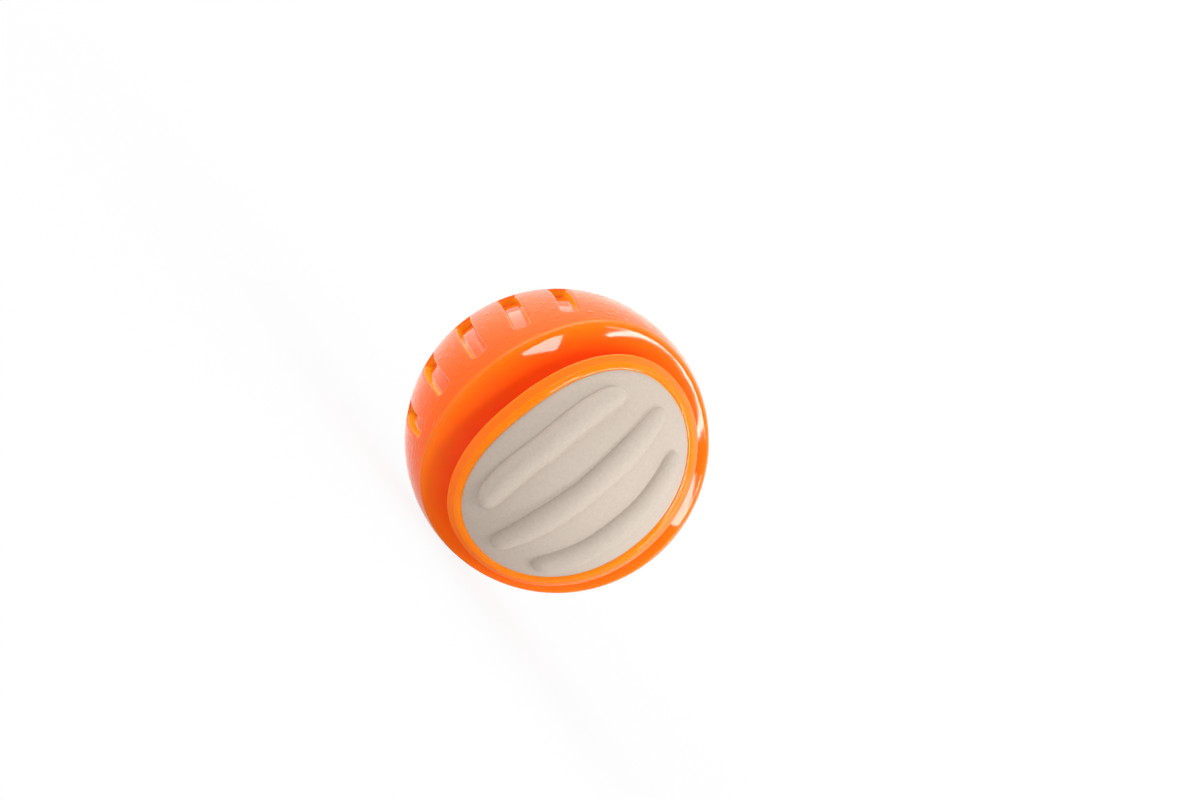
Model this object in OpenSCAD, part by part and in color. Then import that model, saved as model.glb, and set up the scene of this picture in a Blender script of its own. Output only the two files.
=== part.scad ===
// Chew ball: a moulded shell with two oval windows round a ribbed core.
// The ball's centre is the origin. The windows face -Y and +Y with upright ribs, and the belt has slots at its
// left and right.

/* [Ball] */
// Diameter of the ball
ball_d = 76; // [66:0.5:90]
// Thickness of the shell at the belt
shell_t = 8; // [7.4:0.1:9]
// Gap left between the shell and the core
bond_gap = 0.05; // [0.02:0.01:0.2]

/* [Window and lip] */
// Angle from the window's axis to the lip's outer edge, sideways
lip_reach_x = 43.8; // [41:0.1:50]
// Angle from the window's axis to the lip's outer edge, upwards
lip_reach_z = 60.7; // [56:0.1:66]
// Fullness of the oval: 2 is an ellipse, more is squarer
lip_fullness = 2.1; // [2:0.05:2.6]
// Width of the lip along the ball's skin
lip_w = 4.5; // [3:0.1:6.5]
// How far the lip's inner edge lies below the ball's skin
lip_drop = 0.6; // [0.2:0.1:1]
// Rounding of the lip's two edges
lip_round = 0.5; // [0.2:0.1:0.9]

/* [Cove] */
// Width of the hollow from the lip to the shoulder, along the ball's skin
cove_w = 11.4; // [9:0.1:13]
// Depth of the hollow below the ball's skin
cove_depth = 5.4; // [4:0.1:6]
// Width of the foot that joins the lip's wall to the hollow
foot_w = 2.2; // [1.4:0.1:3]
// Width of the rounded shoulder where the hollow meets the belt
shoulder_w = 2; // [1.2:0.1:3.5]

/* [Slots] */
// Slots in each of the two rows
slot_count = 5; // [1:2:7]
// Distance from slot to slot along the belt
slot_pitch = 13.1; // [9:0.1:15]
// Width of a slot
slot_w = 4.4; // [3:0.1:6]
// Depth of a slot
slot_depth = 2.3; // [1:0.1:3]
// Belt left between a slot's end and the shoulder
slot_land = 5.9; // [4:0.1:7]
// Rounding of a slot's corners
slot_round = 1; // [0.5:0.1:1.4]

/* [Ribbed dome] */
// How far the dome lies below the ball's skin
dome_drop = 1.1; // [0.9:0.1:2]
// Height of a rib above the dome
rib_h = 1.7; // [0.8:0.1:2.4]
// Width of a rib at its middle
rib_w = 6.5; // [5:0.1:8]
// Distance from the middle rib to an outer rib
rib_spread = 14; // [12:0.1:15]
// Length of the middle rib, seen from the front
mid_rib_len = 52.5; // [36:0.5:56]
// Length of an outer rib, seen from the front
outer_rib_len = 44; // [30:0.5:50]
// Length over which a rib's end rounds off
rib_end = 3.5; // [2.5:0.5:9]

/* [Hidden] */

ball_r = ball_d / 2;
core_r = ball_r - shell_t;
dome_r = ball_r - dome_drop;
floor_r = ball_r - slot_depth;
// How far solids reach past a face that they are cut by or joined to
overlap = 2;
// Facets round the two plain balls
ball_n = 96;

// Stations round the window, and along and round each part of the shell's section
ring_n = 88;
round_n = 2;
cove_n = 6;
shoulder_n = 3;
belt_n = 4;
cavity_n = 12;
corner_n = 5;
// Stations along the ribs, and across half of one rib
dome_n = 32;
flank_n = 4;

// Angle at the ball's centre of a length along its skin
function skin_angle(len) = len / ball_r * 180 / PI;

// Window's oval seen from the front: t runs round it as round an ellipse, and dir points from its axis
oval_x = sin(lip_reach_x);
oval_z = sin(lip_reach_z);
function oval_dir(t) =
    let (p = [oval_x * cos(t), oval_z * sin(t)])
    p / norm(p);
// Angle from the window's axis to the lip's outer edge
function lip_angle(dir) =
    let (side = pow(abs(dir.x) / oval_x, lip_fullness), rise = pow(abs(dir.y) / oval_z, lip_fullness))
    asin(pow(side + rise, -1 / lip_fullness));

// Point on a section: s is the distance along the skin from the lip's edge, d the depth below the skin
function section_point(dir, s, d) =
    let (polar = lip_angle(dir) + skin_angle(s), r = ball_r - d)
    [r * sin(polar) * dir.x, -r * cos(polar), r * sin(polar) * dir.y];

// Cavity for the core: its flat facets touch a ball that is the gap larger than the core
cavity_step = (180 - 2 * (lip_reach_x - skin_angle(lip_w))) / cavity_n;
cavity_r = (core_r + bond_gap) / cos(cavity_step / 2) / cos(360 / ring_n);

// Lip, cove and shoulder as [distance outwards, depth], from the window's wall to the belt
cove_run = cove_w - shoulder_w - foot_w;
cove_rise = cove_depth * cove_run / (cove_run + shoulder_w / 2);
window_wall = [
    [-lip_w, ball_r - cavity_r],
    [-lip_w, lip_drop + lip_round]
];
lip_inner_edge = [
    for (i = [1 : round_n])
        let (a = 90 * i / round_n)
        [-lip_w + lip_round * (1 - cos(a)), lip_drop + lip_round * (1 - sin(a))]
];
lip_outer_edge = [
    for (i = [0 : round_n])
        let (a = 90 * i / round_n)
        [-lip_round * (1 - sin(a)), lip_round * (1 - cos(a))]
];
lip_foot = [
    for (i = [1 : round_n + 1])
        let (a = 90 * i / (round_n + 1))
        [foot_w * (1 - cos(a)), lip_round + (cove_depth - lip_round) * sin(a)]
];
cove_floor = [
    for (i = [1 : cove_n])
        let (f = i / cove_n)
        [foot_w + cove_run * f, cove_depth - cove_rise * f * f]
];
shoulder_crown = [
    for (i = [1 : shoulder_n])
        let (f = 1 - i / shoulder_n)
        [cove_w - shoulder_w * f, (cove_depth - cove_rise) * f * f]
];
rim_section = concat(window_wall, lip_inner_edge, lip_outer_edge, lip_foot, cove_floor, shoulder_crown);

// Belt from the shoulder to the ball's middle
function belt_end(dir) = (90 - lip_angle(dir)) * PI / 180 * ball_r;
function belt_section(dir) = [
    for (i = [1 : belt_n])
        [cove_w + (belt_end(dir) - cove_w) * i / belt_n, 0]
];

function front_half(dir) = [for (p = concat(rim_section, belt_section(dir))) section_point(dir, p.x, p.y)];

function mirrored(points) = [
    for (i = [len(points) - 2 : -1 : 0])
        [points[i].x, -points[i].y, points[i].z]
];

// Cavity from the rear window's wall to the front one's, without its two ends
function cavity_section(dir) = [
    for (i = [1 : cavity_n - 1])
        section_point(dir, -lip_w + 2 * (belt_end(dir) + lip_w) * (1 - i / cavity_n), ball_r - cavity_r)
];

function whole_section(dir) =
    let (front = front_half(dir))
    concat(front, mirrored(front), cavity_section(dir));

// Closed ring of sections, each joined to the next
module ring_loft(sections) {
    n = len(sections);
    m = len(sections[0]);
    faces = [
        for (i = [0 : n - 1], j = [0 : m - 1])
            let (i2 = (i + 1) % n, j2 = (j + 1) % m)
            each [
                [i * m + j, i * m + j2, i2 * m + j2],
                [i * m + j, i2 * m + j2, i2 * m + j]
            ]
    ];
    polyhedron(points = [for (s = sections) each s], faces = faces);
}

// Half length of a slot at angle a round the belt: the land to the shoulder is the same all along the row
function slot_half_len(a) =
    ball_r * sin(90 - lip_angle([cos(a), sin(a)]) - skin_angle(cove_w + slot_land));

module rounded_slot(len) {
    corner = [slot_w / 2 - slot_round, len / 2 - slot_round];
    polygon([
        for (q = [0 : 3], i = [0 : corner_n])
            let (a = 90 * (q + i / corner_n), sx = q == 0 || q == 3 ? 1 : -1, sy = q < 2 ? 1 : -1)
            [sx * corner.x, sy * corner.y] + slot_round * [cos(a), sin(a)]
    ]);
}

module slot_row() {
    for (i = [-(slot_count - 1) / 2 : (slot_count - 1) / 2])
        let (a = skin_angle(i * slot_pitch))
        rotate([0, 90 + a, 0])
            translate([0, 0, core_r])
                linear_extrude(shell_t + overlap)
                    rounded_slot(2 * slot_half_len(a));
}

module slots() {
    difference() {
        union() {
            slot_row();
            mirror([1, 0, 0]) slot_row();
        }
        rotate([90, 0, 0]) sphere(floor_r, $fn = ball_n);
    }
}

module outer_shell() {
    color("#ff6a1e")
        difference() {
            ring_loft([for (i = [0 : ring_n - 1]) whole_section(oval_dir(360 * i / ring_n))]);
            slots();
        }
}

// Window's inner edge seen from the front, less the gap to the shell, on a ball of radius 1
function dome_edge(t) =
    let (dir = oval_dir(t))
    sin(lip_angle(dir) - skin_angle(lip_w + bond_gap)) * dir;
window_half_len = dome_r * dome_edge(90).y;
window_half_w = dome_r * dome_edge(0).x;
spread_share = rib_spread / window_half_w;

// u runs from the window's top to its bottom. A row beside it is [share of the window's half width, distance].
// Rows draw together at the window's ends, and the ribs with them from where it is narrow.
narrow_from = 0.9;
function width_share(u) = sqrt(max(0, 1 - u * u));
function dome_plan(u, row) =
    let (
        share = width_share(u),
        q = row.x * share + row.y / window_half_w * min(1, share / narrow_from)
    )
    norm([u, q]) * dome_edge(atan2(-u, q));

// A rib's section is a segment of a round bar, which narrows and sinks at the rib's rounded ends
bar_r = (rib_w * rib_w / 4 + rib_h * rib_h) / (2 * rib_h);
function rib_height(u, across, len) =
    let (
        past = max(0, abs(u) * window_half_len - len / 2 + rib_end) / rib_end,
        fade = sqrt(max(0, 1 - past * past)),
        k = fade > 0 ? min(1, abs(across) / (rib_w / 2 * fade)) : 1
    )
    fade * (sqrt(bar_r * bar_r - pow(k * rib_w / 2, 2)) - bar_r + rib_h);

function dome_height(u, row) =
    row.x == 0 ? rib_height(u, row.y, mid_rib_len) :
    abs(row.x) == spread_share ? rib_height(u, row.y, outer_rib_len) :
    0;

function dome_point(u, row, r) =
    let (p = dome_plan(u, row))
    [r * p.x, -r * sqrt(1 - p * p), r * p.y];

// Rows across the dome: over each rib, between the ribs and beside them
function rib_rows(share) = [for (i = [-flank_n : flank_n]) [share, rib_w / 2 * i / flank_n]];
between_row = [spread_share / 2, 0];
beside_row = [(1 + spread_share) / 2, rib_w / 4];
edge_row = [1, 0];
dome_rows = concat(
    [-edge_row, -beside_row],
    rib_rows(-spread_share),
    [-between_row],
    rib_rows(0),
    [between_row],
    rib_rows(spread_share),
    [beside_row, edge_row]
);

// Plug with the ribbed dome on top, a wall towards the ball's centre and a plain underside
module dome_plug() {
    us = [for (i = [1 : dome_n - 1]) -cos(180 * i / dome_n)];
    nu = len(us);
    nv = len(dome_rows);
    base_r = core_r - overlap;
    rim = concat(
        [[-1, 0]],
        [for (u = us) [u, 1]],
        [[1, 0]],
        [for (i = [nu - 1 : -1 : 0]) [us[i], -1]]
    );
    top = [for (u = us, row = dome_rows) dome_point(u, row, dome_r + dome_height(u, row))];
    ends = [dome_point(-1, edge_row, dome_r), dome_point(1, edge_row, dome_r)];
    base = [for (p = rim) dome_point(p.x, p.y * edge_row, base_r)];
    first_end = nu * nv;
    last_end = first_end + 1;
    first_base = last_end + 1;
    centre = first_base + len(rim);
    // Index of each rim point in the top surface, in the same order as the base
    rim_top = concat(
        [first_end],
        [for (i = [0 : nu - 1]) i * nv + nv - 1],
        [last_end],
        [for (i = [nu - 1 : -1 : 0]) i * nv]
    );
    faces = concat(
        [
            for (i = [0 : nu - 2], j = [0 : nv - 2])
                each [
                    [i * nv + j, i * nv + j + 1, (i + 1) * nv + j + 1],
                    [i * nv + j, (i + 1) * nv + j + 1, (i + 1) * nv + j]
                ]
        ],
        [for (j = [0 : nv - 2]) [first_end, j + 1, j]],
        [for (j = [0 : nv - 2]) [last_end, (nu - 1) * nv + j, (nu - 1) * nv + j + 1]],
        [
            for (i = [0 : len(rim) - 1])
                let (i2 = (i + 1) % len(rim))
                each [
                    [rim_top[i], first_base + i, first_base + i2],
                    [rim_top[i], first_base + i2, rim_top[i2]],
                    [first_base + i, centre, first_base + i2]
                ]
        ]
    );
    polyhedron(points = concat(top, ends, base, [[0, -base_r, 0]]), faces = faces);
}

module core() {
    color("#c9bdb0") {
        sphere(core_r, $fn = ball_n);
        dome_plug();
        mirror([0, 1, 0]) dome_plug();
    }
}

outer_shell();
core();
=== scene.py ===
"""Chew ball: a moulded rubber shell with two oval windows round a ribbed plastic core, on a white
studio stage."""

import math

import bpy
import numpy as np
from mathutils import Matrix, Vector


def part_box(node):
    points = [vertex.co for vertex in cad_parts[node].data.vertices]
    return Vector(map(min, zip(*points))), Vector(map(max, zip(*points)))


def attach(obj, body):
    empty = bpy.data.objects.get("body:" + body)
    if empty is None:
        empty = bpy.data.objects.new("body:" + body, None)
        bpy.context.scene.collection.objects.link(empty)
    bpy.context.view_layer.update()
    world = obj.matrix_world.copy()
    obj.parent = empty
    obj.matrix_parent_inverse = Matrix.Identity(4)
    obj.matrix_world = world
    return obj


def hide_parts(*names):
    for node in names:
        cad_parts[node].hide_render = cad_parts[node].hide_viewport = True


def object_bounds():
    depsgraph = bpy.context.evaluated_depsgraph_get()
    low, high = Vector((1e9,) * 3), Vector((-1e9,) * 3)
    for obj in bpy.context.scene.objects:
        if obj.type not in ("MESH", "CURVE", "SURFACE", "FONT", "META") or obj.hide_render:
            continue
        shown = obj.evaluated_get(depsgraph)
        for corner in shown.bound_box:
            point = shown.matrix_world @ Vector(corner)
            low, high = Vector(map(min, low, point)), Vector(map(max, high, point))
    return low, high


bl_info = {
    "name": "Chew Ball",
    "version": (1, 0, 0),
    "blender": (4, 5, 0),
    "location": "View3D > Sidebar > Chew Ball",
    "description": "Builds a chew ball with a slotted rubber shell and a ribbed core",
    "category": "Add Mesh",
}

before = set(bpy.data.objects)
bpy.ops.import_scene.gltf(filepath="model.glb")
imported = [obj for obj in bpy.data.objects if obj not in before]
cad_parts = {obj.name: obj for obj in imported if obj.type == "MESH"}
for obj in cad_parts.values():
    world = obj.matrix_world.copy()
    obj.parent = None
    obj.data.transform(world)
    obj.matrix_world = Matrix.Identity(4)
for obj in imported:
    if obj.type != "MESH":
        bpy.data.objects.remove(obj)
CAD_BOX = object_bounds()
SHELL_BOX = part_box("outer_shell")
MM = 0.001
BALL_MM = (SHELL_BOX[1].x - SHELL_BOX[0].x) / MM
FLOOR_Z = CAD_BOX[0].z


def linear(hex_colour):
    """Linear red, green and blue of an sRGB colour written as #RRGGBB."""
    parts = [int(hex_colour[i:i + 2], 16) / 255 for i in (1, 3, 5)]
    return [c / 12.92 if c <= 0.04045 else ((c + 0.055) / 1.055) ** 2.4 for c in parts]


def length(name, mm, description):
    """Length property that is written in millimetres and kept in metres."""
    return bpy.props.FloatProperty(
        name=name, description=description, default=mm * MM,
        subtype="DISTANCE", unit="LENGTH", precision=5,
    )


def angle(name, degrees, description):
    """Angle property that is written in degrees and kept in radians."""
    return bpy.props.FloatProperty(
        name=name, description=description, default=math.radians(degrees),
        subtype="ANGLE", unit="ROTATION",
    )


def colour(name, hex_colour, description):
    """Colour property that is written as sRGB and kept linear."""
    return bpy.props.FloatVectorProperty(
        name=name, description=description, default=linear(hex_colour),
        subtype="COLOR", size=3, min=0, max=1,
    )


class ShellSizes(bpy.types.PropertyGroup):
    """Sizes of the moulded rubber shell."""

    ball_d: length("Ball", BALL_MM, "Diameter of the ball")
    shell_t: length("Thickness", 8, "Thickness of the shell at the belt")
    gap: length("Gap", 0.1, "Gap left between the shell and the core")
    reach_x: angle("Reach sideways", 43.8, "Angle from the window's axis to the lip, sideways")
    reach_z: angle("Reach upwards", 60.7, "Angle from the window's axis to the lip, upwards")
    fullness: bpy.props.FloatProperty(
        name="Fullness", default=2.1,
        description="Shape of the window: 2 is an ellipse, more is squarer",
    )
    lip_w: length("Lip width", 4.5, "Width of the lip along the ball's skin")
    lip_drop: length("Lip drop", 1.2, "Depth to which the lip's inner edge rolls over")
    lip_round: length("Lip rounding", 0.4, "Rounding of the lip's outer edge")
    lip_roll: length("Lip roll", 1.7, "Width of the lip's inner part, which rolls over to the dome")
    lip_step: length("Lip step", 0.07, "Height of the fine step where the roll begins")
    flash: length("Flash", 0.06, "How far the ragged inner edge of the lip wanders")
    cove_w: length("Cove width", 11.4, "Width of the hollow from the lip to the shoulder")
    cove_depth: length("Cove depth", 5.4, "Depth of the hollow below the skin")
    foot_w: length("Foot width", 2.2, "Width of the foot that joins the lip's wall to the hollow")
    shoulder_w: length("Shoulder width", 1.2, "Width of the shoulder between hollow and belt")
    polish_w: length("Polish width", 0.4, "How far the shoulder's polish runs onto the belt")
    gloss_fade: length("Gloss fade", 0.9, "Width of the belt over which the wrinkles begin")


class SlotSizes(bpy.types.PropertyGroup):
    """Sizes of the grip slots in the shell's belt."""

    count: bpy.props.IntProperty(
        name="Count", default=5, description="Slots in each of the two rows",
    )
    pitch: length("Pitch", 13.1, "Distance from slot to slot along the belt")
    width: length("Width", 4.4, "Width of a slot")
    depth: length("Depth", 2.3, "Depth of a slot")
    land: length("Land", 5.9, "Belt left between a slot's end and the shoulder")
    corner: length("Corner", 1.4, "Rounding of a slot's corners")
    rim: length("Rim", 0.7, "Rounding of a slot's rim")
    wall: length("Wall", 0.3, "How far a slot's wall leans in on its way down")
    fillet: length("Fillet", 0.5, "Rounding between a slot's wall and floor")


class DomeSizes(bpy.types.PropertyGroup):
    """Sizes of the ribbed domes of the core."""

    drop: length("Drop", 0.9, "How far the dome lies below the ball's skin")
    rib_h: length("Rib height", 2.6, "Height of a rib above the dome")
    rib_w: length("Rib width", 6.5, "Width of a rib at its middle")
    spread: length("Rib spread", 14, "Distance from the middle rib to an outer rib")
    mid_len: length("Middle rib", 52.5, "Length of the middle rib, seen from the front")
    outer_len: length("Outer ribs", 44, "Length of an outer rib, seen from the front")
    rib_end: length("Rib end", 3.5, "Length over which a rib's end rounds off")
    narrow_from: bpy.props.FloatProperty(
        name="Narrow from", default=0.9,
        description="Share of the window's width at which the ribs begin to narrow",
    )
    seat: length("Seat", 0.3, "How far the dome's edge reaches under the lip")
    blend: length("Blend", 0.06, "Softness of the crease at a rib's foot")


class Finishes(bpy.types.PropertyGroup):
    """Colours of the materials and the stage."""

    rubber: colour("Rubber", "#FF6405", "Orange of the rubber where it is etched")
    # Polished and hollow are the two ends of the rubber's painted light and shade: a painted yellow
    # glow where the rubber is thin, a painted red shade deep in a cove and in the slots
    polished: colour("Rubber, polished", "#FFC020", "Orange of polished rubber where it is thin")
    hollow: colour("Rubber, hollow", "#FF4A04", "Red-orange of the rubber deep in a cove")
    clouds: bpy.props.FloatProperty(
        name="Clouds", default=0.06, description="How much darker the rubber is in places",
    )
    plastic: colour("Plastic", "#C2B5A8", "Stone colour of the core's plastic")
    plastic_dark: colour("Plastic, dark", "#ADA093", "Darker grains of the core's plastic")
    paper: colour("Paper", "#FFFFFF", "White of the floor and the background")


class StudioSettings(bpy.types.PropertyGroup):
    """Place of the camera."""

    azimuth: angle("Azimuth", -21.795, "Turn of the camera round the ball")
    elevation: angle("Elevation", 3.603, "Height of the camera above the horizon")
    roll: angle("Roll", -51.65, "Lean of the ball in the picture, anticlockwise")
    distance: length("Distance", 836, "Distance from the camera to the ball's centre")
    lens: bpy.props.FloatProperty(
        name="Lens", default=100.7, description="Focal length in millimetres",
    )


# Takes a point at the front window to its twin at the rear window
TO_REAR = np.array([1, -1, 1])


def steps(n):
    """n equal steps from 0 to 1, without 0."""
    return np.linspace(0, 1, n + 1)[1:]


def on_ball(radius, polar, turn):
    """Points on a ball, from the angle to the front window's axis and the angle round it."""
    ring = radius * np.sin(polar)
    return np.stack([ring * np.cos(turn), -radius * np.cos(polar), ring * np.sin(turn)], 1)


class Window:
    """Oval window seen along the ball's Y axis. Angles round it are measured from +X towards +Z."""

    def __init__(self, sizes):
        self.side = math.sin(sizes.reach_x)
        self.rise = math.sin(sizes.reach_z)
        self.fullness = sizes.fullness

    def lip_angle(self, turn):
        """Angle from the window's axis to the lip's outer edge."""
        n = self.fullness
        total = np.abs(np.cos(turn) / self.side) ** n + np.abs(np.sin(turn) / self.rise) ** n
        return np.arcsin(total ** (-1 / n))

    def turn_at(self, t):
        """Angle round the window at the ellipse parameter t."""
        return np.arctan2(self.rise * np.sin(t), self.side * np.cos(t))


def arc(start, end, n, bulge):
    """n points of a quarter ellipse from start to end, without start. bulge picks the corner that
    it rounds: "first" leaves along the first coordinate, "second" along the second."""
    a = np.linspace(0, math.pi / 2, n + 1)[1:]
    rise, run = np.sin(a), 1 - np.cos(a)
    if bulge == "second":
        rise, run = run, rise
    x = start[0] + (end[0] - start[0]) * rise
    y = start[1] + (end[1] - start[1]) * run
    return np.stack([x, y], 1)


def straight(start, end, n):
    """n points of a line from start to end, without start."""
    f = steps(n)[:, None]
    return np.asarray(start) * (1 - f) + np.asarray(end) * f


# Rows of points on each stretch of the rim's section, from the lip's inner wall to the belt
WALL_ROWS, ROLL_ROWS, STEP_ROWS, TOP_ROWS = 4, 18, 2, 7
EDGE_ROWS, FOOT_ROWS, COVE_ROWS, CROWN_ROWS = 6, 9, 22, 12


def rim_profile(s):
    """Lip, cove and shoulder as rows of [distance along the skin from the lip's outer edge, depth].
    Distances on the lip are below 0."""
    wall_foot = (-s.lip_w, s.shell_t - s.gap)
    wall_top = (-s.lip_w, s.lip_drop)
    roll_end = (s.lip_roll - s.lip_w, s.lip_step)
    top_start = (roll_end[0] + s.lip_step, 0)
    top_end = (-s.lip_round, 0)
    edge_end = (0, s.lip_round)
    foot_end = (s.foot_w, s.cove_depth)
    run = s.cove_w - s.shoulder_w - s.foot_w
    rise = s.cove_depth * run / (run + s.shoulder_w / 2)
    cove = steps(COVE_ROWS)
    crown = 1 - steps(CROWN_ROWS)
    return np.concatenate([
        straight(wall_foot, wall_top, WALL_ROWS),
        arc(wall_top, roll_end, ROLL_ROWS, "second"),
        straight(roll_end, top_start, STEP_ROWS),
        straight(top_start, top_end, TOP_ROWS),
        arc(top_end, edge_end, EDGE_ROWS, "first"),
        arc(edge_end, foot_end, FOOT_ROWS, "second"),
        np.stack([s.foot_w + run * cove, s.cove_depth - rise * cove ** 2], 1),
        np.stack([s.cove_w - s.shoulder_w * crown, (s.cove_depth - rise) * crown ** 2], 1),
    ])


# Lines of the grid on a slot's rim, wall and fillet, as shares of each one's width
RIM_LINES = np.array([1.25, 1, 0.72, 0.48, 0.28, 0.12, 0.03])
WALL_LINES = np.array([0, 0.5, 1])
FILLET_LINES = np.array([0.05, 0.15, 0.32, 0.55, 0.8, 1])


def rim_offsets(slot):
    """Distances outwards from a slot's outline at which the grid has lines, from the belt to the
    slot's floor."""
    return np.concatenate([
        slot.rim * RIM_LINES,
        -slot.wall * WALL_LINES,
        -slot.wall - slot.fillet * FILLET_LINES,
    ])


def slot_depth(slot, across, along, half_len):
    """Depth below the skin at a place in or beside a slot: a rounded rim, a wall, a fillet and a
    flat floor."""
    qx = np.abs(across) - slot.width / 2 + slot.corner
    qy = np.abs(along) - half_len + slot.corner
    out = np.hypot(np.maximum(qx, 0), np.maximum(qy, 0)) - slot.corner
    out += np.minimum(np.maximum(qx, qy), 0)
    rim_left = np.clip(slot.rim - out, 0, slot.rim)
    rim = slot.rim - np.sqrt(np.maximum(0, slot.rim ** 2 - rim_left ** 2))
    wall_h = slot.depth - slot.rim - slot.fillet
    wall = slot.rim + wall_h * np.clip(-out / slot.wall, 0, 1)
    fillet_left = np.clip(slot.fillet + slot.wall + out, 0, slot.fillet)
    fillet_h = np.sqrt(np.maximum(0, slot.fillet ** 2 - fillet_left ** 2))
    fillet = slot.depth - slot.fillet + fillet_h
    return np.where(out >= 0, rim, np.where(out >= -slot.wall, wall, fillet))


# Columns of the grid on a slot's floor, and their distance on the belt between two slots
FLOOR_COLUMNS = 5
COLUMN_STEP = 0.75 * MM


class BeltColumns:
    """Columns of the shell's grid. A column keeps its distance from the slots on either side."""

    def __init__(self, shell, slot, window):
        self.ball_r = shell.ball_d / 2
        ranks = np.arange(slot.count) - (slot.count - 1) / 2
        row = ranks * (slot.pitch / self.ball_r)
        centres = np.concatenate([row, math.pi + row])
        land_angle = (shell.cove_w + slot.land) / self.ball_r
        half = slot.width / 2 + rim_offsets(slot)
        floor = np.linspace(-half[-1], half[-1], FLOOR_COLUMNS + 2)[1:-1]
        across = np.concatenate([-half, floor, half[::-1]])
        edge = half[0]
        edge_angle = edge / self.ball_r

        def end_of(turn):
            """Half the length that a slot at this angle round the ball would have."""
            return self.ball_r * np.cos(window.lip_angle(turn) + land_angle)

        table = []
        for i, centre in enumerate(centres):
            once_round = 2 * math.pi if i + 1 == len(centres) else 0
            after = centres[(i + 1) % len(centres)] + once_round
            table += [(centre, x, centre, x, 0, end_of(centre)) for x in across]
            between = (after - centre) * self.ball_r - 2 * edge
            f = steps(max(2, round(between / COLUMN_STEP)))[:-1]
            turn = centre + edge_angle + f * (after - centre - 2 * edge_angle)
            lift = end_of(centre) - end_of(centre + edge_angle)
            lift_after = end_of(after) - end_of(after - edge_angle)
            ends = end_of(turn) + lift * (1 - f) ** 2 + lift_after * f ** 2
            table += [(centre, edge, after, -edge, mix, end) for mix, end in zip(f, ends)]
        # Slot before and after a column, its distance from each, its place between the two from
        # 0 to 1, and half the slots' length there. In a slot, before and after are that slot
        (self.first, self.first_off, self.second, self.second_off,
         self.mix, self.half_len) = np.array(table).T

    def turn(self, polar):
        """Angle round the Y axis of each column at the polar angle from the window's axis."""
        reach = self.ball_r * np.sin(polar)
        a = self.first + np.arcsin(self.first_off / reach)
        b = self.second + np.arcsin(self.second_off / reach)
        return a + (b - a) * self.mix


def wander(turn):
    """Ragged line round the window, between -1 and 1, the same on every run."""
    waves = ((67, 0.30, 0.4), (113, 0.28, 2.1), (179, 0.24, 4.4), (251, 0.18, 1.2))
    return sum(weight * np.sin(count * turn + phase) for count, weight, phase in waves)


# Rows of the grid from the shoulder to the slots' ends, from there to the equator, and inside
LAND_ROWS, FLOOR_ROWS, INSIDE_ROWS = 10, 14, 24
# Rounds in which a row's angles settle, since each depends on the other
SETTLE_ROUNDS = 6
# Painted light and shade on the rubber's orange, set by how hidden the rubber is: 0 paints a yellow
# glow, as where it is thin, 1 a red shade, as deep in a cove
SKIN_PAINTED_SHADE, ROLL_PAINTED_SHADE, COVE_PAINTED_SHADE = 0.74, 0.65, 1.0
# A slot's walls get a painted glow, its floor a painted red shade
SLOT_WALL_PAINTED_SHADE, SLOT_FLOOR_PAINTED_SHADE = 0.3, 0.84
# Share of a slot's fillet from which its floor's painted red shade begins
SLOT_FLOOR_FROM = 0.6
# Gloss on the top of the lip, where 1 is polished
LIP_GLOSS = 0.55
# Depths at which gloss begins and is full in a slot, as shares of its rim
GLOSS_FROM, GLOSS_FULL = 0.2, 0.9


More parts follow.
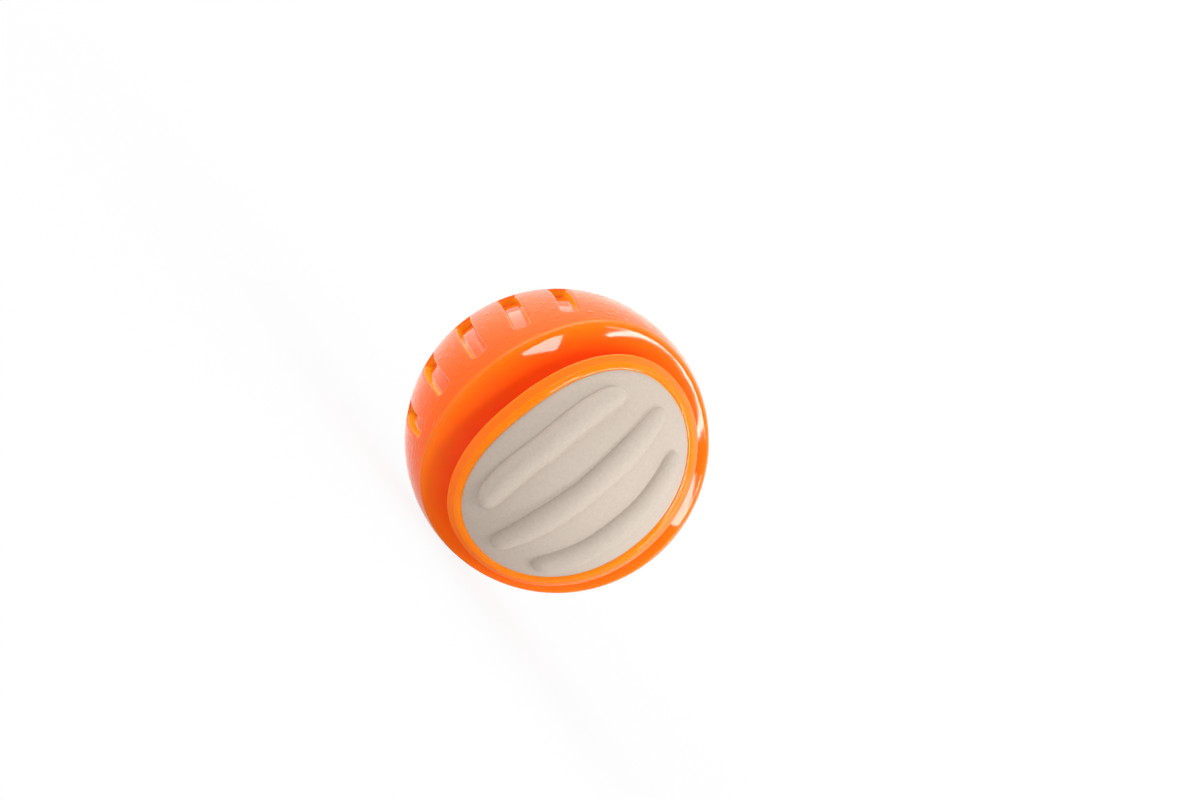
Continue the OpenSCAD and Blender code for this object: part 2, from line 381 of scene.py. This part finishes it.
def shell_grid(shell, slot):
    """Points of the shell as a grid of rows and columns that closes both ways, and for each point
    its gloss from 0 to 1, whether the mould is polished there, and how hidden the rubber is, which
    sets the painted light and shade of its orange."""
    window = Window(shell)
    columns = BeltColumns(shell, slot, window)
    ball_r = shell.ball_d / 2
    rows, gloss, polish, hollow = [], [], [], []

    def settle(along):
        """Angles of a row that keeps this distance from the lip's edge: polar and round."""
        turn = columns.turn(np.full(len(columns.mix), math.pi / 2))
        for _ in range(SETTLE_ROUNDS):
            polar = window.lip_angle(turn) + along / ball_r
            turn = columns.turn(polar)
        return polar, turn

    # The lip's duller top lies between the fine step and the rounding of the lip's outer edge
    top_from = shell.lip_roll + 1.5 * shell.lip_step
    top_to = shell.lip_w - shell.lip_round
    for along, depth in rim_profile(shell):
        polar, turn = settle(along)
        from_wall = along + shell.lip_w
        ragged = max(0, 1 - 2 * from_wall / shell.lip_roll) ** 2 * shell.flash
        rows.append(on_ball(ball_r - depth, polar + ragged * wander(turn) / ball_r, turn))
        on_top = top_from < from_wall < top_to
        # Painted shade: a little less on the lip's rolled inner edge than on its top, and more the
        # deeper it lies in the cove
        painted_shade = SKIN_PAINTED_SHADE if on_top else ROLL_PAINTED_SHADE
        if along > -shell.lip_round:
            painted_shade = SKIN_PAINTED_SHADE + (COVE_PAINTED_SHADE - SKIN_PAINTED_SHADE) * depth / shell.cove_depth
        gloss.append(np.full(polar.shape, LIP_GLOSS if on_top else 1.0))
        polish.append(np.full(polar.shape, True))
        hollow.append(np.full(polar.shape, painted_shade))

    border = settle(shell.cove_w)[0] + shell.polish_w / ball_r
    equator = np.full_like(border, math.pi / 2)
    band = [np.arccos((columns.half_len + e) / ball_r) for e in rim_offsets(slot)]
    belt = [border + (band[0] - border) * x for x in np.linspace(0, 1, LAND_ROWS + 1)[:-1]] + band
    belt += [band[-1] + (equator - band[-1]) * x for x in steps(FLOOR_ROWS)]
    in_slot = columns.mix == 0
    across = np.where(in_slot, columns.first_off, 0)
    for polar in belt:
        along = -ball_r * np.cos(polar)
        depth = np.where(in_slot, slot_depth(slot, across, along, columns.half_len), 0)
        up = np.sqrt((ball_r - depth) ** 2 - along ** 2 - across ** 2)
        lean = np.where(in_slot, columns.first, columns.turn(polar))
        x = up * np.cos(lean) - across * np.sin(lean)
        z = up * np.sin(lean) + across * np.cos(lean)
        rows.append(np.stack([x, along, z], 1))
        sunk = depth / slot.rim
        fade = np.clip(1 - (polar - border) * ball_r / shell.gloss_fade, 0, 1)
        slot_gloss = np.clip((sunk - GLOSS_FROM) / (GLOSS_FULL - GLOSS_FROM), 0, 1)
        gloss.append(np.maximum(fade * fade * (3 - 2 * fade), slot_gloss))
        polish.append((polar <= border) | (sunk >= GLOSS_FULL))
        # Painted light in a slot: its walls get a yellower painted glow, its floor a painted red
        # shade
        wall = SKIN_PAINTED_SHADE + (SLOT_WALL_PAINTED_SHADE - SKIN_PAINTED_SHADE) * np.clip(sunk, 0, 1)
        on_floor = depth > slot.depth - SLOT_FLOOR_FROM * slot.fillet
        hollow.append(np.where(on_floor, SLOT_FLOOR_PAINTED_SHADE, wall))

    polar, turn = settle(-shell.lip_w)
    inside_r = ball_r - shell.shell_t + shell.gap
    shares = steps(INSIDE_ROWS + 1)[-2::-1]
    inside = [on_ball(inside_r, polar + (math.pi - 2 * polar) * x, turn) for x in shares]

    def all_round(front, inner):
        """Values of all rows, from those of the front half and the one value inside."""
        return np.array(front + front[-2::-1] + [np.full(len(turn), inner)] * len(inside))

    points = np.array(rows + [row * TO_REAR for row in rows[-2::-1]] + inside)
    return points, all_round(gloss, 0.0), all_round(polish, True), all_round(hollow, 0.0)


def ring_faces(rows, cols, first=0):
    """Quads between rows of points, where each row is a closed ring."""
    i = np.arange(rows - 1)[:, None] * cols
    j = np.arange(cols)[None, :]
    j2 = (j + 1) % cols
    return np.stack([i + j, i + j2, i + cols + j2, i + cols + j], -1).reshape(-1, 4) + first


def smooth_max(a, b, k):
    """The larger of a and b, with the corner between them rounded over k."""
    return np.maximum(a, b) + np.maximum(k - np.abs(a - b), 0) ** 2 / (4 * k)


# Rows of the dome's grid from top to bottom, over a rib, and between or beside ribs
DOME_ROWS, RIB_ROWS, GAP_ROWS = 230, 25, 7
# Distances from a rib's foot to the rows at its crease, and to the last of them
CREASE = np.array([0.08, 0.2, 0.36]) * MM
CREASE_END = 0.6 * MM
# How far out a rib's section is followed, where 1 is its foot, and the least width of its end
RIB_REACH = 1.25
RIB_END_LEAST = 0.02


class Dome:
    """Ribbed dome in a window. u runs from its top to its bottom. A row beside it is a share of
    the window's half width and a distance; rows draw together at the window's ends."""

    def __init__(self, shell, dome):
        self.shell, self.dome = shell, dome
        self.window = Window(shell)
        self.ball_r = shell.ball_d / 2
        self.dome_r = self.ball_r - dome.drop
        self.half_len = self.dome_r * self.edge(math.pi / 2)[1]
        self.half_w = self.dome_r * self.edge(0.0)[0]
        self.spread = dome.spread / self.half_w
        self.shares, self.across = self.rows()

    def edge(self, t):
        """Edge of the dome, just under the lip, seen from the front on a ball of radius 1."""
        turn = self.window.turn_at(t)
        inset = (self.shell.lip_w - self.dome.seat) / self.ball_r
        reach = np.sin(self.window.lip_angle(turn) - inset)
        return reach * np.cos(turn), reach * np.sin(turn)

    def rows(self):
        """Rows over the three ribs, close together at their creases, and between and beside the
        ribs."""
        half = self.dome.rib_w / 2
        margin = half + CREASE_END
        inner = half * np.sin(np.linspace(-1, 1, RIB_ROWS) * math.pi / 2)
        crease = half + CREASE
        rib = np.concatenate([[-margin], -crease[::-1], inner, crease, [margin]])

        def link(start, end):
            """Rows between two rows."""
            return np.linspace(start, end, GAP_ROWS + 2)[1:-1]

        def over(share):
            """Rows over the rib at this share of the half width."""
            return np.stack([np.full(len(rib), share), rib], 1)

        gap = link((0, margin), (self.spread, -margin))
        side = link((self.spread, margin), (1, 0))
        right = np.concatenate([gap, over(self.spread), side, [(1, 0)]])
        both = np.concatenate([-right[::-1], over(0.0), right])
        return both[:, 0], both[:, 1]

    def plan(self, u, share, across):
        """Place on the dome seen from the front, on a ball of radius 1."""
        width = np.sqrt(np.maximum(0, 1 - u * u))
        narrow = np.minimum(1, width / self.dome.narrow_from)
        q = share * width + across / self.half_w * narrow
        x, z = self.edge(np.arctan2(-u, q))
        m = np.hypot(u, q)
        return m * x, m * z

    def rib(self, u, across, rib_len):
        """Height of a rib, below 0 beside it: a segment of a round bar, which narrows and sinks at
        its ends."""
        d = self.dome
        half = d.rib_w / 2
        bar_r = (d.rib_w ** 2 / 4 + d.rib_h ** 2) / (2 * d.rib_h)
        past = np.maximum(0, np.abs(u) * self.half_len - rib_len / 2 + d.rib_end) / d.rib_end
        fade = np.sqrt(np.maximum(0, 1 - past ** 2))
        k = np.minimum(RIB_REACH, np.abs(across) / (half * np.maximum(fade, RIB_END_LEAST)))
        bar = np.sqrt(np.maximum(0, bar_r ** 2 - (k * half) ** 2)) - bar_r + d.rib_h
        return fade * bar - (1 - fade) * d.blend

    def height(self, u, share, across):
        """Height above the dome's own ball."""
        d = self.dome
        is_outer = np.abs(share) == self.spread
        middle = np.where(share == 0, self.rib(u, across, d.mid_len), -d.blend)
        outer = np.where(is_outer, self.rib(u, across, d.outer_len), -d.blend)
        return smooth_max(0, np.maximum(middle, outer), d.blend)

    def points(self, u, share, across, radius):
        """Points above these places of the dome, at a distance from the ball's centre."""
        x, z = self.plan(u, share, across)
        y = -np.sqrt(1 - x * x - z * z)
        return np.stack(np.broadcast_arrays(radius * x, radius * y, radius * z), -1)


# Rows of the core's grid down a dome's wall, and on the ball between the two domes
DOME_WALL_ROWS, CORE_ROWS = 4, 26


def core_mesh(shell, dome):
    """Points and faces of the core: two ribbed domes, their walls and the ball that joins them, as
    one skin."""
    shape = Dome(shell, dome)
    nu, nv = DOME_ROWS, len(shape.shares)
    us = -np.cos(np.linspace(0, math.pi, nu + 2)[1:-1])[:, None]
    radius = shape.dome_r + shape.height(us, shape.shares, shape.across)
    grid = shape.points(us, shape.shares, shape.across, radius).reshape(-1, 3)
    ends = shape.points(np.array([-1.0, 1.0]), np.zeros(2), np.zeros(2), shape.dome_r)
    top = np.concatenate([grid, ends])

    # Faces of one dome: its grid, and a fan of triangles at each end
    k = (np.arange(nu - 1)[:, None] * nv + np.arange(nv - 1)).ravel()
    first, last, last_row = nu * nv, nu * nv + 1, (nu - 1) * nv
    cap = [tuple(quad) for quad in np.stack([k, k + nv, k + nv + 1, k + 1], 1)]
    cap += [(first, a, a + 1) for a in range(nv - 1)]
    cap += [(last_row + a + 1, last_row + a, last) for a in range(nv - 1)]

    # Rings from the front dome's edge down its wall, over the ball and up to the rear dome
    row_starts = np.arange(nu) * nv
    rim = np.concatenate([[first], row_starts, [last], row_starts[::-1] + nv - 1])
    way = top[rim] / np.linalg.norm(top[rim], axis=1, keepdims=True)
    core_r = shape.ball_r - shell.shell_t
    rings = [way * r for r in np.linspace(shape.dome_r, core_r, DOME_WALL_ROWS + 1)[1:]]
    polar = np.arccos(-way[:, 1])
    turn = np.arctan2(way[:, 2], way[:, 0])
    for x in steps(CORE_ROWS + 1)[:-1]:
        rings.append(on_ball(core_r, polar + (math.pi - 2 * polar) * x, turn))
    rings += [ring * TO_REAR for ring in rings[DOME_WALL_ROWS - 1::-1]]

    cols = len(rim)
    first_ring = len(top)
    first_rear = first_ring + len(rings) * cols
    here = np.arange(cols)
    pairs = list(zip(here, (here + 1) % cols))
    start = first_ring + here
    end = first_rear - cols + here
    rear_rim = first_rear + rim
    faces = cap + [(rim[a], start[a], start[b], rim[b]) for a, b in pairs]
    faces += [tuple(quad) for quad in ring_faces(len(rings), cols, first_ring)[:, ::-1]]
    faces += [(end[a], rear_rim[a], rear_rim[b], end[b]) for a, b in pairs]
    faces += [tuple(first_rear + i for i in face[::-1]) for face in cap]
    return np.concatenate([top, *rings, top * TO_REAR]), faces


def add_node(tree, kind, settings=None, **links):
    """Adds a node with its settings, and gives its inputs their values or links. _ in an input's
    name is a space, and i6 is input number 6."""
    node = tree.nodes.new(kind)
    for name, value in (settings or {}).items():
        setattr(node, name, value)
    for name, value in links.items():
        numbered = name[0] == "i" and name[1:].isdigit()
        key = int(name[1:]) if numbered else name.replace("_", " ")
        if isinstance(value, bpy.types.NodeSocket):
            tree.links.new(value, node.inputs[key])
        else:
            node.inputs[key].default_value = value
    return node


def new_material(name):
    """Empty node material, its tree and its output node."""
    material = bpy.data.materials.new(name)
    material.use_nodes = True
    tree = material.node_tree
    tree.nodes.clear()
    return material, tree, tree.nodes.new("ShaderNodeOutputMaterial")


def rgba(value):
    """Colour with full opacity, as a node's socket takes it."""
    return (*value, 1)


# Clouds in the rubber are about 9 mm across
CLOUD_SIZE = 9 * MM
CLOUD_RANGE = {"From_Min": 0.3, "From_Max": 0.7}
# Light goes a millimetre or two into the rubber, red the farthest, so edges and hollows look soft
GLOW = {"Subsurface_Radius": (1.0, 0.3, 0.06), "Subsurface_Scale": 1.5 * MM}
RUBBER_IOR = 1.4
# Wrinkles of the etched rubber run round the belt, longer than wide. They are about 0.5 mm apart,
# and drawn 0.9 mm apart and 2 mm long so that they show
WRINKLE_LENGTH = 2 * MM
WRINKLE_APART = (1, 2.2, 1)
WRINKLE_HEIGHT = 0.3 * MM
# Roughness of polished rubber, from the slightly duller top of the lip to full gloss
POLISH_ROUGHNESS = {"From_Min": 0.5, "From_Max": 1.0, "To_Min": 0.26, "To_Max": 0.06}
# Blasting grit of about 0.15 mm would be finer than a pixel, so the grain is drawn at 0.7 mm
GRAIN_SIZE = 0.7 * MM
GRAIN_HEIGHT = 0.15 * MM


def clouded(tree, colour_in, place, amount):
    """Colour that is a little darker in places, as where rubber has flowed round a core."""
    clouds = add_node(tree, "ShaderNodeTexNoise", Vector=place, Scale=1 / CLOUD_SIZE, Detail=2.0)
    shade = add_node(
        tree, "ShaderNodeMapRange",
        Value=clouds.outputs["Fac"], **CLOUD_RANGE, To_Min=1.0, To_Max=1.0 - amount,
    ).outputs[0]
    return add_node(
        tree, "ShaderNodeMix", {"data_type": "RGBA", "blend_type": "MULTIPLY"},
        Factor=1.0, i6=colour_in, i7=shade,
    ).outputs[2]


def painted_shade_orange(tree, finishes):
    """Orange of polished rubber with painted light and shade, from a yellowish painted glow where
    the rubber is thin to a painted red shade deep in a cove.
    """
    hollow = add_node(tree, "ShaderNodeAttribute", {"attribute_name": "hollow"}).outputs["Fac"]
    return add_node(
        tree, "ShaderNodeMix", {"data_type": "RGBA"},
        Factor=hollow, i6=rgba(finishes.polished), i7=rgba(finishes.hollow),
    ).outputs[2]


def etched_rubber(finishes):
    """Thermoplastic rubber from an etched mould: matte, with fine leathery wrinkles, and pale where
    it is seen at a low angle."""
    material, tree, out = new_material("thermoplastic_rubber_etched")
    place = add_node(tree, "ShaderNodeTexCoord").outputs["Object"]
    gloss = add_node(tree, "ShaderNodeAttribute", {"attribute_name": "gloss"}).outputs["Fac"]
    matte = add_node(
        tree, "ShaderNodeMath", {"operation": "SUBTRACT"}, i0=1.0, i1=gloss,
    ).outputs[0]
    stretched = add_node(tree, "ShaderNodeMapping", Vector=place, Scale=WRINKLE_APART).outputs[0]
    wrinkles = add_node(
        tree, "ShaderNodeTexNoise", {"noise_type": "RIDGED_MULTIFRACTAL"}, Vector=stretched,
        Scale=1 / WRINKLE_LENGTH, Detail=4.0, Roughness=0.6, Distortion=0.6,
    ).outputs["Fac"]
    relief = add_node(
        tree, "ShaderNodeMath", {"operation": "MULTIPLY"}, i0=wrinkles, i1=matte,
    ).outputs[0]
    bump = add_node(tree, "ShaderNodeBump", Strength=0.7, Distance=WRINKLE_HEIGHT, Height=relief)
    # Towards a shoulder or into a slot the colour goes over to that of the polished rubber, with
    # its painted light and shade
    tint = add_node(
        tree, "ShaderNodeMix", {"data_type": "RGBA"},
        Factor=gloss, i6=rgba(finishes.rubber), i7=painted_shade_orange(tree, finishes),
    ).outputs[2]
    shader = add_node(
        tree, "ShaderNodeBsdfPrincipled",
        Base_Color=clouded(tree, tint, place, finishes.clouds), Roughness=0.55, IOR=RUBBER_IOR,
        Specular_IOR_Level=0.2, Sheen_Weight=1.0, Sheen_Roughness=0.3,
        Normal=bump.outputs[0], Subsurface_Weight=0.3, **GLOW,
    )
    tree.links.new(shader.outputs[0], out.inputs[0])
    return material


def polished_rubber(finishes):
    """Thermoplastic rubber from a polished mould: glossy, with sharp reflections, and deep in
    colour through painted shade in its coves and slots."""
    material, tree, out = new_material("thermoplastic_rubber_polished")
    place = add_node(tree, "ShaderNodeTexCoord").outputs["Object"]
    gloss = add_node(tree, "ShaderNodeAttribute", {"attribute_name": "gloss"}).outputs["Fac"]
    rough = add_node(tree, "ShaderNodeMapRange", Value=gloss, **POLISH_ROUGHNESS).outputs[0]
    tint = painted_shade_orange(tree, finishes)
    shader = add_node(
        tree, "ShaderNodeBsdfPrincipled",
        Base_Color=clouded(tree, tint, place, finishes.clouds), Roughness=rough, IOR=RUBBER_IOR,
        Subsurface_Weight=0.5, **GLOW,
    )
    tree.links.new(shader.outputs[0], out.inputs[0])
    return material


def blasted_plastic(finishes):
    """Nylon from a sandblasted mould: a dull stone colour with a fine, even grain and no gloss."""
    material, tree, out = new_material("nylon_sandblasted")
    place = add_node(tree, "ShaderNodeTexCoord").outputs["Object"]
    grain = add_node(
        tree, "ShaderNodeTexNoise",
        Vector=place, Scale=1 / GRAIN_SIZE, Detail=3.0, Roughness=0.65,
    ).outputs["Fac"]
    tint = add_node(
        tree, "ShaderNodeMix", {"data_type": "RGBA"},
        Factor=grain, i6=rgba(finishes.plastic_dark), i7=rgba(finishes.plastic),
    ).outputs[2]
    bump = add_node(tree, "ShaderNodeBump", Strength=0.5, Distance=GRAIN_HEIGHT, Height=grain)
    shader = add_node(
        tree, "ShaderNodeBsdfPrincipled",
        Base_Color=tint, Roughness=0.75, IOR=1.5, Normal=bump.outputs[0],
    )
    tree.links.new(shader.outputs[0], out.inputs[0])
    return material


def new_piece(name, points, faces, materials, node):
    """Smooth mesh piece that rides on the ball and stands for a node of the frame."""
    mesh = bpy.data.meshes.new(name)
    corners = [[int(i) for i in face] for face in faces]
    mesh.from_pydata(points.reshape(-1, 3).tolist(), [], corners)
    mesh.polygons.foreach_set("use_smooth", [True] * len(mesh.polygons))
    for material in materials:
        mesh.materials.append(material)
    if mesh.validate():
        raise RuntimeError(f"{name} has broken faces")
    piece = bpy.data.objects.new(name, mesh)
    bpy.context.scene.collection.objects.link(piece)
    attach(piece, "root")
    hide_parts(node)
    return piece


# Size of the picture, and the place of the ball's middle in it, in pixels from the top left
PICTURE = (1200, 800)
BALL_PIXEL = (557, 440.8)
# Strength of the surroundings by direction, from -1 at the front to 1 behind: as gloss shows them,
# and as they light the ball
SKY_IN_GLOSS = {"From_Min": -0.3, "From_Max": 0.4, "To_Min": 0.1, "To_Max": 0.9}
SKY_LIGHT = {"From_Min": -0.95, "From_Max": -0.2, "To_Min": 0.55, "To_Max": 1.1}
# Half the floor's width in metres, and the grey that its paper has in the light
FLOOR_HALF = 1.5
FLOOR_GREY = 0.6
# Grey of the floor as gloss shows it, by metres from front to back
FLOOR_IN_GLOSS = {"From_Min": -0.06, "From_Max": 0.06, "To_Min": 0.1, "To_Max": 0.7}
# How much the floor glows on the ball, by metres from left to right
FLOOR_GLOW = {"From_Min": -0.05, "From_Max": 0.1, "To_Min": 0.4, "To_Max": 0.95}
# How white the floor is to the eye, by metres from the ball
FLOOR_WHITE = {"From_Min": 0.08, "From_Max": 0.3, "To_Min": 0.9, "To_Max": 1.0}
# Name, azimuth and elevation in degrees, distance, width and height in metres, and brightness,
# where 1 is white
LAMPS = (
    ("key_box", 8.5, 22, 0.6, 0.13, 0.18, 16),
    ("streak_box", 31, 45.3, 0.6, 0.075, 0.022, 26),
    ("strip_box", 41, 25, 0.6, 0.08, 0.22, 18),
    ("side_box", 80, 0, 0.8, 0.5, 0.5, 2.2),
    ("rim_box", -132, 22, 0.8, 1.0, 1.0, 2.0),
)


def direction(azimuth, elevation):
    """Way from the ball, where azimuth 0 is the front and more goes to the right."""
    level = math.cos(elevation)
    return Vector((math.sin(azimuth) * level, -math.cos(azimuth) * level, math.sin(elevation)))


def add_camera(scene, studio):
    """Camera that leans, so that the upright ball leans in the picture."""
    back = direction(studio.azimuth, studio.elevation)
    level = Vector((0, 0, 1)).cross(back).normalized()
    upright = back.cross(level)
    cos, sin = math.cos(studio.roll), math.sin(studio.roll)
    right, up = level * cos - upright * sin, level * sin + upright * cos
    data = bpy.data.cameras.new("camera")
    data.lens = studio.lens
    data.shift_x = (PICTURE[0] / 2 - BALL_PIXEL[0]) / PICTURE[0]
    data.shift_y = (BALL_PIXEL[1] - PICTURE[1] / 2) / PICTURE[0]
    camera = bpy.data.objects.new("camera", data)
    turn = Matrix((right, up, back)).transposed().to_4x4()
    camera.matrix_world = Matrix.Translation(back * studio.distance) @ turn
    scene.collection.objects.link(camera)
    scene.camera = camera


def add_world(scene, finishes):
    """White surroundings, as in a light tent: bright at the sides and behind, dim at the front,
    where the tent is open. Gloss shows the open front darker still."""
    scene.world = bpy.data.worlds.new("white_studio")
    scene.world.use_nodes = True
    tree = scene.world.node_tree
    tree.nodes.clear()
    path = add_node(tree, "ShaderNodeLightPath").outputs
    way = add_node(tree, "ShaderNodeTexCoord").outputs["Generated"]
    depth = add_node(tree, "ShaderNodeSeparateXYZ", Vector=way).outputs["Y"]
    mirrored = add_node(tree, "ShaderNodeMapRange", Value=depth, **SKY_IN_GLOSS).outputs[0]
    around = add_node(tree, "ShaderNodeMapRange", Value=depth, **SKY_LIGHT).outputs[0]
    light = add_node(
        tree, "ShaderNodeMapRange", Value=path["Is Glossy Ray"], To_Min=around, To_Max=mirrored,
    ).outputs[0]
    seen = add_node(
        tree, "ShaderNodeMath", {"operation": "ADD"},
        i0=path["Is Camera Ray"], i1=path["Is Transmission Ray"],
    ).outputs[0]
    strength = add_node(
        tree, "ShaderNodeMath", {"operation": "MAXIMUM"}, i0=light, i1=seen,
    ).outputs[0]
    sky = add_node(
        tree, "ShaderNodeBackground", Color=rgba(finishes.paper), Strength=strength,
    ).outputs[0]
    add_node(tree, "ShaderNodeOutputWorld", Surface=sky)


def white_paper(finishes):
    """Matte white paper. To the eye it is brightened to the white of the background, less the
    ball's shadow."""
    material, tree, out = new_material("white_paper")
    path = add_node(tree, "ShaderNodeLightPath").outputs
    place = add_node(tree, "ShaderNodeTexCoord").outputs["Object"]
    away = add_node(
        tree, "ShaderNodeVectorMath", {"operation": "LENGTH"}, i0=place,
    ).outputs["Value"]
    sides = add_node(tree, "ShaderNodeSeparateXYZ", Vector=place).outputs
    mirrored = add_node(tree, "ShaderNodeMapRange", Value=sides["Y"], **FLOOR_IN_GLOSS).outputs[0]
    tone = add_node(
        tree, "ShaderNodeMapRange",
        Value=path["Is Glossy Ray"], To_Min=FLOOR_GREY, To_Max=mirrored,
    ).outputs[0]
    lit = add_node(tree, "ShaderNodeBsdfDiffuse", Color=tone).outputs[0]
    white = add_node(
        tree, "ShaderNodeEmission", Color=rgba(finishes.paper), Strength=1.0,
    ).outputs[0]
    glow = add_node(tree, "ShaderNodeMapRange", Value=sides["X"], **FLOOR_GLOW).outputs[0]
    glow_matte = add_node(
        tree, "ShaderNodeMapRange", Value=path["Is Glossy Ray"], To_Min=glow, To_Max=0.0,
    ).outputs[0]
    whiteness = add_node(tree, "ShaderNodeMapRange", Value=away, **FLOOR_WHITE).outputs[0]
    share = add_node(
        tree, "ShaderNodeMapRange",
        Value=path["Is Camera Ray"], To_Min=glow_matte, To_Max=whiteness,
    ).outputs[0]
    mixed = add_node(tree, "ShaderNodeMixShader", Fac=share, i1=lit, i2=white).outputs[0]
    tree.links.new(mixed, out.inputs[0])
    return material


def add_floor(scene, finishes):
    """Sheet of white paper under the ball."""
    mesh = bpy.data.meshes.new("floor")
    corners = [(x * FLOOR_HALF, y * FLOOR_HALF, FLOOR_Z)
               for x, y in ((-1, -1), (1, -1), (1, 1), (-1, 1))]
    mesh.from_pydata(corners, [], [(0, 1, 2, 3)])
    mesh.materials.append(white_paper(finishes))
    floor = bpy.data.objects.new("floor", mesh)
    scene.collection.objects.link(floor)


def add_lamps(scene):
    """Soft boxes: a key at the front, two narrow ones and a large one at the right, and one at the
    rear left."""
    for name, azimuth, elevation, distance, width, height, brightness in LAMPS:
        way = direction(math.radians(azimuth), math.radians(elevation))
        data = bpy.data.lights.new(name, "AREA")
        data.shape = "RECTANGLE"
        data.size, data.size_y = width, height
        data.energy = brightness * math.pi * width * height
        lamp = bpy.data.objects.new(name, data)
        lamp.location = way * distance
        lamp.rotation_mode = "QUATERNION"
        lamp.rotation_quaternion = way.to_track_quat("Z", "Y")
        lamp.visible_camera = False
        scene.collection.objects.link(lamp)


class CHEWBALL_OT_stage(bpy.types.Operator):
    """Adds the white floor, the soft lamps and the camera"""

    bl_idname = "chewball.stage"
    bl_label = "Stage"

    def execute(self, context):
        scene = context.scene
        add_camera(scene, scene.chew_studio)
        add_world(scene, scene.chew_finishes)
        add_floor(scene, scene.chew_finishes)
        add_lamps(scene)
        scene.view_settings.view_transform = "Standard"
        return {"FINISHED"}


class CHEWBALL_OT_outer_shell(bpy.types.Operator):
    """Adds the moulded rubber shell with its slots, coves and lips"""

    bl_idname = "chewball.outer_shell"
    bl_label = "Outer Shell"

    def execute(self, context):
        scene = context.scene
        points, gloss, polished, hollow = shell_grid(scene.chew_shell, scene.chew_slots)
        rows, cols = gloss.shape
        # One row past the last is the first again, which closes the skin
        faces = ring_faces(rows + 1, cols)[:, ::-1] % (rows * cols)
        materials = [etched_rubber(scene.chew_finishes), polished_rubber(scene.chew_finishes)]
        piece = new_piece(
            "outer_shell_rubber", points, faces, materials, "outer_shell",
        )
        face_finish = polished.ravel()[faces].all(axis=1).astype(np.int32)
        piece.data.polygons.foreach_set("material_index", face_finish)
        # The hollow attribute carries the painted light and shade of the rubber's orange
        for name, values in (("gloss", gloss), ("hollow", hollow)):
            attribute = piece.data.attributes.new(name, "FLOAT", "POINT")
            attribute.data.foreach_set("value", values.ravel().astype(np.float32))
        return {"FINISHED"}


class CHEWBALL_OT_core(bpy.types.Operator):
    """Adds the core with a ribbed dome in each window"""

    bl_idname = "chewball.core"
    bl_label = "Core"

    def execute(self, context):
        scene = context.scene
        points, faces = core_mesh(scene.chew_shell, scene.chew_dome)
        material = blasted_plastic(scene.chew_finishes)
        new_piece("core_plastic", points, faces, [material], "core")
        return {"FINISHED"}


class CHEWBALL_PT_panel(bpy.types.Panel):
    """Sidebar panel that builds the ball piece by piece"""

    bl_idname = "CHEWBALL_PT_panel"
    bl_label = "Chew Ball"
    bl_space_type = "VIEW_3D"
    bl_region_type = "UI"
    bl_category = "Chew Ball"

    def draw(self, context):
        for operator in OPERATORS:
            self.layout.operator(operator.bl_idname)
        for group_name in GROUPS:
            group = getattr(context.scene, group_name)
            box = self.layout.box()
            for prop in group.__annotations__:
                box.prop(group, prop)


OPERATORS = (CHEWBALL_OT_stage, CHEWBALL_OT_outer_shell, CHEWBALL_OT_core)
GROUPS = {
    "chew_shell": ShellSizes,
    "chew_slots": SlotSizes,
    "chew_dome": DomeSizes,
    "chew_finishes": Finishes,
    "chew_studio": StudioSettings,
}
CLASSES = (*GROUPS.values(), *OPERATORS, CHEWBALL_PT_panel)


def register():
    for cls in CLASSES:
        bpy.utils.register_class(cls)
    for name, cls in GROUPS.items():
        setattr(bpy.types.Scene, name, bpy.props.PointerProperty(type=cls))


def unregister():
    for name in GROUPS:
        delattr(bpy.types.Scene, name)
    for cls in reversed(CLASSES):
        bpy.utils.unregister_class(cls)


def main():
    """Builds the scene."""
    register()
    bpy.ops.chewball.stage()
    bpy.ops.chewball.outer_shell()
    bpy.ops.chewball.core()


if __name__ == "__main__":
    main()
